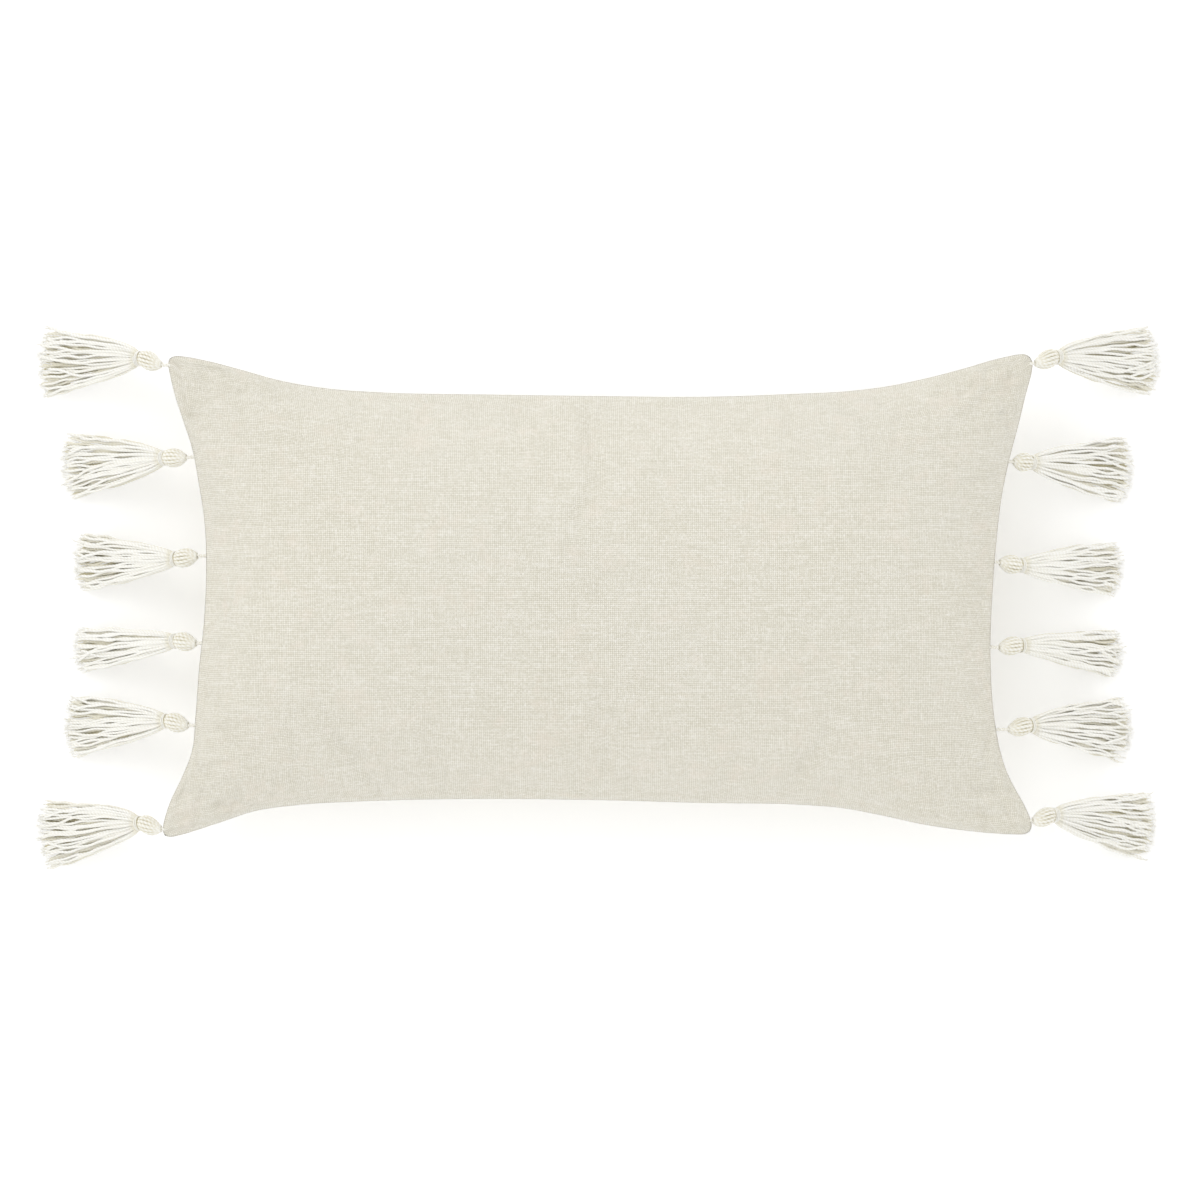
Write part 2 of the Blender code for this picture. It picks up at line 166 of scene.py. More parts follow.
def crown(u, v):
    """How full the pillow is, from 0 on the seam to 1 in the middle."""
    along = np.clip(1 - np.abs(u) ** LENGTH_CURVE, 0, 1)
    across = np.clip(1 - np.abs(v) ** WIDTH_CURVE, 0, 1)
    return (along * across) ** EDGE_CURVE


def at_rest(z, lowest):
    """The height a point of the back takes once it lies on the surface."""
    over = z - lowest
    pressed = lowest + np.maximum(over + REST_BLEND, 0) ** 2 / (4 * REST_BLEND)
    return np.where(over >= REST_BLEND, z, pressed)


def cover_points(u, v, side, depth=0.0, inset=(0.0, 0.0)):
    """A (rows, columns, 3) grid of points on one face of the pillow."""
    bent_u, bent_v = round_corners(u, v)
    half_long = np.where(u > 0, right_edge(v), left_edge(v)) - inset[0]
    half_wide = np.where(v > 0, top_edge(u), bottom_edge(u)) - inset[1]
    z = SEAM_HEIGHT + side * (SEAM_GAP + (LOFT - depth) * crown(u, v))
    if side < 0:
        # under the seam the zip's side runs straight, where the zip is sewn in
        straight = HALF_WIDTH - ZIP_SIDE_DIP * (1 - np.abs(u) ** ZIP_SIDE_CURVE) - inset[1]
        share = np.clip((SEAM_HEIGHT - z) / ZIP_SIDE_HEIGHT, 0, 1) * (v < 0)
        half_wide = half_wide + (straight - half_wide) * smooth(share)
        z = at_rest(z, depth)
    return np.stack([bent_u * half_long, bent_v * half_wide, z], axis=-1)


# ---- Mesh helpers ----


def unit(vectors):
    """The same directions, each one of length 1."""
    return vectors / np.maximum(np.linalg.norm(vectors, axis=-1, keepdims=True), 1e-12)


def grid_faces(rows, columns, start=0, flip=False):
    """Quads of a grid of vertices, as an (n, 4) array."""
    index = np.arange(rows * columns).reshape(rows, columns) + start
    quads = [index[:-1, :-1], index[:-1, 1:], index[1:, 1:], index[1:, :-1]]
    if flip:
        quads.reverse()
    return np.stack(quads, axis=-1).reshape(-1, 4)


def make_mesh(name, points, faces):
    """A smooth mesh of an array of points and a list of faces."""
    mesh = bpy.data.meshes.new(name)
    mesh.from_pydata(points.tolist(), [], faces)
    mesh.shade_smooth()
    return mesh


def add_object(name, data):
    """An object in the scene."""
    added = bpy.data.objects.new(name, data)
    scene.collection.objects.link(added)
    return added


def add_piece(name, mesh, surface):
    """An object with its material."""
    mesh.materials.append(surface)
    return add_object(name, mesh)


def set_uv(mesh, per_vertex, name="cut"):
    """A UV map from one (u, v) pair for each vertex."""
    layer = mesh.uv_layers.new(name=name)
    corners = np.zeros(len(mesh.loops), np.int32)
    mesh.loops.foreach_get("vertex_index", corners)
    layer.data.foreach_set("uv", np.asarray(per_vertex, np.float32)[corners].ravel())


def place(piece, body, slot, *nodes):
    """A piece that rides on a body and stands for CAD nodes."""
    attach(piece, body)
    if nodes:
        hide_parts(*nodes)


# ---- Materials ----


class Nodes:
    """Builds a material's node tree in short calls."""

    def __init__(self, name, roughness, sheen=0.0, metallic=0.0, coat=0.0):
        self.material = bpy.data.materials.new(name)
        self.material.use_nodes = True
        self.tree = self.material.node_tree
        self.shader = self.tree.nodes["Principled BSDF"]
        self.fill(
            self.shader, Roughness=roughness, Sheen_Weight=sheen, Sheen_Roughness=0.5,
            Metallic=metallic, Coat_Weight=coat, Specular_IOR_Level=0.2,
        )

    def put(self, value, socket):
        """Links another node's output to a socket, or sets the socket's own value."""
        if isinstance(value, bpy.types.NodeSocket):
            self.tree.links.new(value, socket)
        else:
            socket.default_value = value

    def fill(self, node, **inputs):
        """Puts each value in the input of that name, in which _ stands for a space."""
        for name, value in inputs.items():
            self.put(value, node.inputs[name.replace("_", " ")])
        return node

    def add(self, kind, **inputs):
        return self.fill(self.tree.nodes.new("ShaderNode" + kind), **inputs)

    def math(self, operation, a, b=0.0, c=0.0):
        node = self.add("Math")
        node.operation = operation
        for value, socket in zip((a, b, c), node.inputs):
            self.put(value, socket)
        return node.outputs[0]

    def times(self, a, b):
        return self.math("MULTIPLY", a, b)

    def mix(self, share, a, b):
        node = self.add("Mix")
        node.data_type = "RGBA"
        self.put(share, node.inputs["Factor"])
        for value, socket in ((a, node.inputs[6]), (b, node.inputs[7])):
            self.put(value if isinstance(value, bpy.types.NodeSocket) else (*value, 1), socket)
        return node.outputs[2]

    def tinge(self, shade, pattern, start, full, most, colour):
        """The shade with a colour mixed in, from none at start to this share of it at full."""
        return self.mix(self.ramp(pattern, start, full, 0, most), shade, colour)

    def combine(self, x, y, z=0.0):
        return self.add("CombineXYZ", X=x, Y=y, Z=z).outputs[0]

    def separate(self, vector):
        return self.add("SeparateXYZ", Vector=vector).outputs

    def noise(self, vector, scale, detail=2.0, roughness=0.5):
        node = self.add("TexNoise", Vector=vector, Scale=scale, Detail=detail, Roughness=roughness)
        return node.outputs["Fac"]

    def spots(self, vector, scale):
        """Distance to the nearest of scattered points."""
        return self.add("TexVoronoi", Vector=vector, Scale=scale).outputs["Distance"]

    def ramp(self, value, low, high, to_low=0.0, to_high=1.0):
        node = self.add(
            "MapRange", Value=value, From_Min=low, From_Max=high, To_Min=to_low, To_Max=to_high
        )
        return node.outputs["Result"]

    def uv(self, name="cut"):
        node = self.add("UVMap")
        node.uv_map = name
        return node.outputs["UV"]

    def object_coordinates(self):
        return self.add("TexCoord").outputs["Object"]

    def attribute(self, name):
        node = self.add("Attribute")
        node.attribute_name = name
        return self.add("SeparateColor", Color=node.outputs["Color"]).outputs

    def finish(self, colour, height, bump_distance, strength=1.0):
        node = self.add("Bump", Strength=strength, Distance=bump_distance, Height=height)
        self.fill(self.shader, Normal=node.outputs["Normal"], Base_Color=colour)
        return self.material


COVER_COLOUR = (0.880, 0.852, 0.753)
COVER_LIGHT = (0.932, 0.909, 0.850)
COVER_SHADE = (0.615, 0.58, 0.47)
# painted shade for the gaps between the cover's threads
COVER_PAINTED_GAP_SHADE = (0.55, 0.515, 0.405)
COVER_PEACH = (0.830, 0.742, 0.638)
COVER_COOL = (0.765, 0.752, 0.695)
YARN_PALE = (0.985, 0.985, 0.97)
YARN_WARM = (0.97, 0.965, 0.93)
# painted shade for the yarns: ply valleys, lower layers, collar, head grooves and fibre gaps
YARN_PAINTED_SHADE = (0.66, 0.60, 0.39)
COVER_THREAD = 0.00135  # from one thread to the next
LINING_THREAD = 0.00045
TAPE_THREAD = 0.0006
TAPE_RIB = 0.0011


def weave(nodes, pitch, slub):
    """A plain weave's height from 0 to 1, the number of each weft and warp thread, and x and y."""
    x, y, _ = nodes.separate(nodes.uv())
    # threads that thicken and thin out push their neighbours aside
    wander = nodes.noise(nodes.combine(nodes.times(x, 0.12), y), 700, 2)
    drift = nodes.noise(nodes.combine(x, nodes.times(y, 0.12)), 600, 2)
    along_y = nodes.math("MULTIPLY_ADD", wander, slub, nodes.math("DIVIDE", y, pitch))
    along_x = nodes.math("MULTIPLY_ADD", drift, slub, nodes.math("DIVIDE", x, pitch))
    weft = nodes.math("FLOOR", along_y)
    warp = nodes.math("FLOOR", along_x)
    across_weft = nodes.math("SINE", nodes.times(nodes.math("FRACT", along_y), math.pi))
    across_warp = nodes.math("SINE", nodes.times(nodes.math("FRACT", along_x), math.pi))
    parity = nodes.math("PINGPONG", nodes.math("ADD", weft, warp), 1.0)
    weft_top = nodes.times(across_weft, nodes.ramp(across_warp, 0, 1, 0.45, 1))
    warp_top = nodes.times(across_warp, nodes.ramp(across_weft, 0, 1, 0.45, 0.9))
    difference = nodes.math("SUBTRACT", warp_top, weft_top)
    height = nodes.math("MULTIPLY_ADD", parity, difference, weft_top)
    return height, weft, warp, x, y


def make_cover_material():
    """An undyed slub weave: uneven threads, pale streaks and neps, a few peach flecks, and painted
    shade in the gaps between threads.
    """
    nodes = Nodes("cover_slub_weave", 0.92, sheen=0.25)
    height, weft, warp, x, y = weave(nodes, COVER_THREAD, 0.55)
    weft_place = nodes.times(weft, 3.37)
    warp_place = nodes.times(warp, 2.71)
    streaks = nodes.noise(nodes.combine(nodes.times(x, 38), weft_place), 1.0, 3, 0.65)
    warp_streaks = nodes.noise(nodes.combine(warp_place, nodes.times(y, 40)), 1.0, 3, 0.65)
    cloud = nodes.noise(nodes.combine(x, y, 0.4), 9.0, 3)
    fleck = nodes.noise(nodes.combine(x, y, 0.9), 55.0, 2, 0.6)
    nep = nodes.spots(nodes.combine(nodes.times(x, 0.6), y), 42)
    grain = nodes.noise(nodes.combine(warp_place, weft_place, 0.7), 1.0, 1)
    # painted shade: the weave is darker where it is low, between threads
    shade = nodes.mix(nodes.ramp(height, 0.05, 0.80), COVER_PAINTED_GAP_SHADE, COVER_COLOUR)
    for tone in (
        (grain, 0.50, 0.75, 0.46, COVER_LIGHT),
        (grain, 0.50, 0.25, 0.38, COVER_SHADE),
        (streaks, 0.50, 0.75, 0.38, COVER_LIGHT),
        (streaks, 0.50, 0.25, 0.28, COVER_SHADE),
        (warp_streaks, 0.52, 0.75, 0.20, COVER_LIGHT),
        (warp_streaks, 0.48, 0.28, 0.14, COVER_SHADE),
        (fleck, 0.55, 0.72, 0.28, COVER_PEACH),
        (nep, 0.035, 0.015, 0.5, COVER_LIGHT),
        (cloud, 0.35, 0.7, 0.14, COVER_COOL),
    ):
        shade = nodes.tinge(shade, *tone)
    thick = nodes.ramp(streaks, 0.45, 0.75, 0, 0.6)
    lumps = nodes.math("MULTIPLY_ADD", nodes.ramp(nep, 0.04, 0.0), 0.9, thick)
    relief = nodes.math("ADD", height, lumps)
    return nodes.finish(shade, relief, 0.00032, 0.8)


def make_lining_material():
    nodes = Nodes("lining_cotton", 0.9, sheen=0.1)
    height, weft, _, x, _ = weave(nodes, LINING_THREAD, 0.2)
    streaks = nodes.noise(nodes.combine(nodes.times(x, 60), weft), 1.0, 1)
    # painted shade: darker where the weave is low, between threads
    shade = nodes.mix(nodes.ramp(height, 0, 1), (0.74, 0.74, 0.72), (0.88, 0.88, 0.86))
    shade = nodes.tinge(shade, streaks, 0.5, 0.8, 0.4, (0.80, 0.79, 0.75))
    return nodes.finish(shade, height, 0.0001, 0.6)


def make_fibre_material():
    nodes = Nodes("polyester_fibre", 1.0, sheen=0.5)
    where = nodes.object_coordinates()
    x, y, z = nodes.separate(where)
    strands = nodes.noise(nodes.combine(x, nodes.times(y, 4), z), 420, 6, 0.7)
    clumps = nodes.noise(where, 40, 3)
    shade = nodes.mix(nodes.ramp(strands, 0.3, 0.7), (0.80, 0.81, 0.82), (0.95, 0.95, 0.94))
    shade = nodes.tinge(shade, clumps, 0.4, 0.7, 0.4, (0.86, 0.86, 0.85))
    return nodes.finish(shade, nodes.math("ADD", strands, clumps), 0.002, 0.8)


def make_yarn_material(name, fibre_scale=1.0):
    """Cotton yarn: tone holds each strand's own tint, and painted shade for its ply valleys and its
    depth.
    """
    nodes = Nodes(name, 0.9, sheen=0.35)
    tint, painted_valley_shade, depth = nodes.attribute("tone")[:3]
    x, y, _ = nodes.separate(nodes.uv("lengthwise"))
    slant = nodes.math("MULTIPLY_ADD", y, 1.6, x)
    lay = nodes.combine(slant, nodes.times(y, 0.18))
    fibres = nodes.noise(lay, 5200 * fibre_scale, 3, 0.6)
    fluff = nodes.noise(nodes.object_coordinates(), 900, 2)
    shade = nodes.mix(nodes.ramp(tint, 0, 1), YARN_PALE, YARN_WARM)
    # painted shade in the ply valleys
    shade = nodes.mix(nodes.times(painted_valley_shade, 0.30), shade, YARN_PAINTED_SHADE)
    # painted shade for the lower layers, the collar and the grooves of the head
    shade = nodes.tinge(shade, depth, 0, 1, 0.95, YARN_PAINTED_SHADE)
    # painted shade where the fibre relief is low
    shade = nodes.tinge(shade, fibres, 0.55, 0.30, 0.18, YARN_PAINTED_SHADE)
    shade = nodes.tinge(shade, fluff, 0.55, 0.75, 0.5, YARN_PALE)
    return nodes.finish(shade, fibres, 0.00012, 0.7)


def make_tape_material():
    nodes = Nodes("zip_tape_weave", 0.85, sheen=0.15)
    height, _, _, x, _ = weave(nodes, TAPE_THREAD, 0.1)
    ribs = nodes.math("SINE", nodes.times(x, 2 * math.pi / TAPE_RIB))
    # painted shade: darker where the weave is low and in the troughs between the ribs
    shade = nodes.mix(nodes.ramp(height, 0, 1), (0.62, 0.60, 0.52), (0.80, 0.78, 0.70))
    shade = nodes.tinge(shade, ribs, -1, 1, 0.3, (0.86, 0.84, 0.77))
    return nodes.finish(shade, nodes.math("ADD", height, ribs), 0.0001, 0.7)


def make_coil_material():
    nodes = Nodes("zip_coil_nylon", 0.4, coat=0.1)
    where = nodes.object_coordinates()
    wear = nodes.noise(where, 300, 3)
    fine = nodes.noise(where, 2500, 2)
    shade = nodes.mix(nodes.ramp(wear, 0.4, 0.7), (0.80, 0.78, 0.70), (0.86, 0.84, 0.78))
    return nodes.finish(shade, fine, 0.00005, 0.4)


def make_enamel_material():
    """Enamelled zinc, with scuffs that are rougher and show a little metal."""
    nodes = Nodes("zip_enamel", 0.38, metallic=0.35, coat=0.2)
    where = nodes.object_coordinates()
    scuff = nodes.ramp(nodes.noise(where, 700, 5, 0.7), 0.56, 0.68)
    mottle = nodes.noise(where, 200, 3)
    shade = nodes.mix(nodes.ramp(mottle, 0.3, 0.7), (0.72, 0.70, 0.62), (0.80, 0.78, 0.70))
    shade = nodes.mix(scuff, shade, (0.55, 0.54, 0.50))
    rough = nodes.ramp(scuff, 0, 1, 0.36, 0.55)
    nodes.tree.links.new(rough, nodes.shader.inputs["Roughness"])
    return nodes.finish(shade, nodes.times(scuff, -1.0), 0.00003, 0.6)


COVER_MATERIAL = make_cover_material()
LINING_MATERIAL = make_lining_material()
FIBRE_MATERIAL = make_fibre_material()
YARN_MATERIAL = make_yarn_material("tassel_cotton_yarn")
CORD_MATERIAL = make_yarn_material("tassel_cotton_cord")
WRAP_MATERIAL = make_yarn_material("tassel_binding_thread", 1.4)
TAPE_MATERIAL = make_tape_material()
COIL_MATERIAL = make_coil_material()
ENAMEL_MATERIAL = make_enamel_material()

# ---- The cover and the insert ----

SIM_COLUMNS = 110
SIM_ROWS = 62
SIM_FRAMES = 20
REFINE = 2  # the finished panels have this many times the trial's cells
START_FULLNESS = 0.985  # the trial starts a little flatter than its filled shape
CLOTH_EASE = 0.012  # the share by which the cloth is larger than the shape it is sewn to
MOST_CLOTH_SHIFT = 0.006
HELD_BY_SEAM = 0.007  # width of the strip along the seam that neither swells nor puckers
PUCKER_PLACE = 0.016  # distance from the seam at which the gathers are tallest
FOLD_PLACE = 0.045  # distance from a corner at which its folds are tallest
FLOOR_FADE = 0.012  # height over which the back's relief fades out towards the surface
INSERT_COLUMNS = 120
INSERT_ROWS = 68


def cloth_shift(front, back):
    """How far each grid point moves as the filling presses the cloth out, held by its seam."""
    rows, columns = front.shape[:2]
    count = rows * columns
    points = np.concatenate([front.reshape(-1, 3), back.reshape(-1, 3)])
    rim_index = np.sort(rim_ring(rows, columns))
    same = np.arange(2 * count)
    same[rim_index + count] = rim_index
    quads = np.concatenate(
        [grid_faces(rows, columns), same[grid_faces(rows, columns, count, flip=True)]]
    )
    used, packed = np.unique(quads, return_inverse=True)
    start = points[used]
    start[:, 2] = SEAM_HEIGHT + (start[:, 2] - SEAM_HEIGHT) * START_FULLNESS
    mesh = make_mesh("cloth_trial", start, packed.reshape(-1, 4).tolist())
    trial = add_object("cloth_trial", mesh)
    held = trial.vertex_groups.new(name="seam")
    held.add(np.searchsorted(used, rim_index).tolist(), 1.0, "REPLACE")
    cloth = trial.modifiers.new("Cloth", "CLOTH").settings
    cloth.quality = 6
    cloth.mass = 0.25
    cloth.tension_stiffness = 12
    cloth.compression_stiffness = 12
    cloth.shear_stiffness = 4
    cloth.bending_stiffness = 0.08
    cloth.use_pressure = True
    cloth.uniform_pressure_force = 4
    cloth.effector_weights.gravity = 0
    cloth.vertex_group_mass = "seam"
    cloth.shrink_min = -CLOTH_EASE
    for number in range(1, SIM_FRAMES + 1):
        scene.frame_set(number)
    view = trial.evaluated_get(bpy.context.evaluated_depsgraph_get())
    moved = np.zeros(len(start) * 3, np.float32)
    view.data.vertices.foreach_get("co", moved)
    whole = np.zeros((2 * count, 3))
    whole[used] = moved.reshape(-1, 3) - points[used]
    whole[rim_index + count] = whole[rim_index]
    bpy.data.objects.remove(trial)
    bpy.data.meshes.remove(mesh)
    scene.frame_set(1)
    return whole[:count].reshape(front.shape), whole[count:].reshape(back.shape)


def capped(shift, most):
    """The same shift, with no point moving further than this."""
    size = np.linalg.norm(shift, axis=-1, keepdims=True)
    return shift * np.minimum(1, most / np.maximum(size, 1e-9))


def finer(grid, times):
    """A grid of values with this many times the cells, on smooth curves between the old ones."""
    for axis in (0, 1):
        count = grid.shape[axis]
        at = np.linspace(0, count - 1, (count - 1) * times + 1)
        i = np.clip(at.astype(int), 0, count - 2)
        shape = [1, 1, 1]
        shape[axis] = -1
        t = (at - i).reshape(shape)
        p0 = np.take(grid, np.clip(i - 1, 0, count - 1), axis)
        p1 = np.take(grid, i, axis)
        p2 = np.take(grid, i + 1, axis)
        p3 = np.take(grid, np.clip(i + 2, 0, count - 1), axis)
        grid = p1 + 0.5 * t * (
            p2 - p0 + t * (2 * p0 - 5 * p1 + 4 * p2 - p3 + t * (3 * (p1 - p2) + p3 - p0))
        )
    return grid


def grid_normals(points, side):
    """Unit normals of a grid of points, outwards."""
    along = np.gradient(points, axis=1)
    across = np.gradient(points, axis=0)
    return unit(np.cross(along, across)) * side


def from_seam(u, v):
    """How far points are from the nearest short side and the nearest long side."""
    return (1 - np.abs(u)) * HALF_LENGTH, (1 - np.abs(v)) * HALF_WIDTH


def wavering(place, pitch, sway, rate, phase, start=0.0):
    """A sine wave of this pitch whose phase sways to and fro along it."""
    return np.sin(place * 2 * np.pi / pitch + sway * np.sin(place * rate + phase) + start)


def puckers(u, v, side):
    """Small gathers that the stitching draws up beside the seam, strongest near the corners."""
    to_short, to_long = from_seam(u, v)
    x, y = u * HALF_LENGTH, v * HALF_WIDTH
    seed = 0.7 if side > 0 else 2.9
    wave_x = wavering(x, 0.0145, 2.2, 31, seed, seed) + 0.6 * wavering(x, 0.0088, 1.7, 23, seed * 2)
    wave_y = wavering(y, 0.0132, 2.0, 37, seed * 3, seed) + 0.6 * wavering(y, 0.0083, 1.5, 29, seed)
    near_corner = np.exp(-np.hypot(to_short, to_long) / 0.075)
    strength = 0.00016 + 0.00075 * near_corner
    by_long = to_long / PUCKER_PLACE * np.exp(1 - to_long / PUCKER_PLACE)
    by_short = to_short / PUCKER_PLACE * np.exp(1 - to_short / PUCKER_PLACE)
    return strength * (wave_x * by_long + wave_y * by_short)


def off_the_seam(u, v):
    """0 on the seam, and 1 from a few millimetres inside it."""
    return smooth(np.clip(np.minimum(*from_seam(u, v)) / HELD_BY_SEAM, 0, 1))


def free_cloth(u, v, side):
    """How freely the filling moves the cloth: not at the seam or corners, nor along the zip."""
    from_corner = np.hypot(*from_seam(u, v))
    free = off_the_seam(u, v) * smooth(np.clip((from_corner - 0.012) / 0.03, 0, 1))
    if side < 0:
        by_zip = np.clip((0.62 - np.abs(u)) / 0.08, 0, 1) * np.clip((-0.72 - v) / 0.1, 0, 1)
        free *= 1 - by_zip
    return free[..., None]


def radiating_folds(u, v, side):
    """Long soft folds that run out of each corner into the panel."""
    height = np.zeros_like(u)
    # which corner, as signs of u and v, then the fold's direction and width in radians, and height
    folds = (
        (1, 1, 0.52, 0.10, 0.0011), (1, 1, 0.80, 0.12, -0.0009), (-1, 1, 0.60, 0.10, 0.0010),
        (-1, -1, 0.50, 0.11, 0.0011), (-1, -1, 0.85, 0.10, 0.0008), (1, -1, 0.66, 0.12, 0.0011),
        (1, -1, 0.35, 0.09, -0.0008), (-1, 1, 0.30, 0.09, -0.0009),
    )
    for sign_u, sign_v, turn, width, tall in folds:
        out_x = (1 - u * sign_u) * HALF_LENGTH
        out_y = (1 - v * sign_v) * HALF_WIDTH
        angle = np.arctan2(out_y, np.maximum(out_x, 1e-6))
        away = np.hypot(out_x, out_y)
        shape = (away / FOLD_PLACE) ** 2 * np.exp(2 - 2 * away / FOLD_PLACE)
        height += tall * side * np.exp(-(((angle - turn) / width) ** 2)) * shape
    return height


def rim_ring(rows, columns):
    """The indices round the rim of a grid of vertices, in order."""
    index = np.arange(rows * columns).reshape(rows, columns)
    return np.concatenate([index[0, :-1], index[:-1, -1], index[-1, :0:-1], index[:0:-1, 0]])


def lengths_from_middle(points):
    """How far each point of a grid is along its row from the middle column, in metres."""
    steps = np.linalg.norm(np.diff(points, axis=1), axis=-1)
    along = np.concatenate([np.zeros((len(points), 1)), np.cumsum(steps, axis=1)], axis=1)
    return along - along[:, points.shape[1] // 2, None]


def add_shell(name, outer, inner, down, surface):
    """A thin closed body between two grids of points, with a UV map of its flat cloth."""
    rows, columns = outer.shape[:2]
    count = rows * columns
    ring = rim_ring(rows, columns)
    following = np.roll(ring, -1)
    rim = np.stack([ring, ring + count, following + count, following], axis=-1)
    if down:
        rim = rim[:, ::-1]
    quads = np.concatenate([
        grid_faces(rows, columns, 0, flip=down),
        grid_faces(rows, columns, count, flip=not down),
        rim,
    ])
    points = np.concatenate([outer.reshape(-1, 3), inner.reshape(-1, 3)])
    mesh = make_mesh(name, points, quads.tolist())
    lengthwise = lengths_from_middle(outer)
    crosswise = lengths_from_middle(outer.transpose(1, 0, 2)).T
    flat = np.stack([lengthwise + 0.5, crosswise + 0.5], axis=-1).reshape(-1, 2)
    set_uv(mesh, np.concatenate([flat, flat]))
    return add_piece(name, mesh, surface)


def own_side(points, side, gap):
    """The points, held on their own side of the seam and above the floor."""
    over_seam = side * (points[..., 2] - SEAM_HEIGHT)
    points[..., 2] = SEAM_HEIGHT + side * np.maximum(over_seam, gap)
    points[..., 2] = np.maximum(points[..., 2], 0.0)
    return points


def make_panel(name, side, shift, node):
    """One panel of the cover, with the points of its outer face."""
    u, v = share_grid(SIM_COLUMNS * REFINE, SIM_ROWS * REFINE)
    outer = cover_points(u, v, side) + finer(shift, REFINE) * free_cloth(u, v, side)
    relief = (puckers(u, v, side) + radiating_folds(u, v, side)) * off_the_seam(u, v)
    if side < 0:
        relief *= np.clip(outer[..., 2] / FLOOR_FADE, 0, 1)
    outer += grid_normals(outer, side) * relief[..., None]
    outer = own_side(outer, side, SEAM_GAP)
    inner = own_side(outer - grid_normals(outer, side) * COVER_THICKNESS, side, SEAM_GAP)
    piece = add_shell(name, outer, inner, side < 0, COVER_MATERIAL)
    place(piece, "root", "cover_fabric", node)
    return piece, outer


def insert_grid(node):
    """The shares of a grid for part of the insert, and how far its seam is inside the cover's."""
    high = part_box(node)[1]
    inset = (HALF_LENGTH - high.x, HALF_WIDTH - high.y)
    return *share_grid(INSERT_COLUMNS, INSERT_ROWS), inset


def make_lining(name, side, node):
    """One panel of the insert's casing, a little crumpled inside the cover."""
    u, v, inset = insert_grid(node)
    outer = cover_points(u, v, side, LINING_DEPTH, inset)
    crumple = np.sin(u * 41 + 3 * np.sin(v * 9)) * np.sin(v * 23 + 2 * np.sin(u * 13 + side))
    crumple = -0.0004 * (1 + crumple) * off_the_seam(u, v)
    outer += grid_normals(outer, side) * crumple[..., None]
    outer = own_side(outer, side, 2 * SEAM_GAP)
    inner = own_side(outer - grid_normals(outer, side) * LINING_THICKNESS, side, 2 * SEAM_GAP)
    piece = add_shell(name, outer, inner, side < 0, LINING_MATERIAL)
    place(piece, "root", "insert_lining", node)


def make_fibre(name, node):
    """The fibre: one soft lumpy mass."""
    u, v, inset = insert_grid(node)
    faces = []
    for side in (1, -1):
        face = cover_points(u, v, side, FIBRE_DEPTH, inset)
        lumps = np.sin(u * 19 + 2 * np.sin(v * 7 + side)) * np.sin(v * 13 + 2 * np.sin(u * 11))
        lumps += 0.5 * np.sin(u * 53 + v * 17) * np.sin(v * 37 - u * 23)
        sunk = 0.0008 * (1.5 + lumps) * off_the_seam(u, v)
        face -= grid_normals(face, side) * sunk[..., None]
        faces.append(own_side(face, side, 3 * SEAM_GAP))
    piece = add_shell(name, *faces, False, FIBRE_MATERIAL)
    place(piece, "root", "fibre_fill", node)


coarse = share_grid(SIM_COLUMNS, SIM_ROWS)
grids = [cover_points(*coarse, side) for side in (1, -1)]
shifts = [capped(shift, MOST_CLOTH_SHIFT) for shift in cloth_shift(*grids)]

cover_front, _ = make_panel("cover_front", 1, shifts[0], "cover_front_panel")
cover_back, back_points = make_panel("cover_back", -1, shifts[1], "cover_back_panel")
make_fibre("insert_fibre", "insert_fibre_fill")
make_lining("insert_lining_front", 1, "insert_casing_front")
make_lining("insert_lining_back", -1, "insert_casing_back")

# ---- The tassels ----

TASSEL_REACH = 0.092
CORD_LENGTH = 0.0055
KNOT_GAP = 0.0007
HEAD_LENGTH = 0.0145
HEAD_RADIUS = 0.0068
HEAD_SHOWN = 0.0182  # the folded tops reach a little way up the cord
NECK_RADIUS = 0.0044
COLLAR_LENGTH = 0.0024
SKIRT_THICKNESS = 0.0072
YARN_RADIUS = 0.00092
OUTER_YARNS = 14  # these come over the top of the head
INNER_YARNS = 46
YARNS = OUTER_YARNS + INNER_YARNS
LAYERS = 3
LAYER_HEIGHT = 0.0023
GOLDEN_ANGLE = 2.39996
TURN = 6.28  # the range that a yarn's phase is drawn from
HEAD_STATIONS = 16
COLLAR_STATIONS = 5
SKIRT_STATIONS = 66
HEAD_FATTER = 1.34
YARN_TWIST = 1050  # radians for each metre, as are the other twists
YARN_LOBE = 0.16
WISPS = 4
WISP_RADII = (0.00024, 0.0002, 0.00016, 0.00012, 0.00006)
WRAP_TURNS = 2.5
WRAP_HEIGHT = 0.0030
WRAP_RADIUS = 0.00046
STRAND_RADIUS = 0.00074
STRAND_OFFSET = 0.00066

# For each row from the +Y corner down: how far the skirt's end lies towards +Y, how far the
# skirt bows that way before it, and how wide it spreads
TASSEL_ROWS = (
    (0.003, 0.0042, 0.049), (-0.006, 0.0007, 0.047), (-0.005, -0.0010, 0.040),
    (-0.005, 0.0024, 0.033), (-0.001, 0.0030, 0.045), (-0.006, 0.0048, 0.049),
)

# Where the seam bulges towards a head, its top starts this much further out
HEAD_SET_BACK = {
    ("right", 2): 0.0040, ("right", 3): 0.0012, ("left", 4): 0.0008, ("right", 6): 0.0008,
}


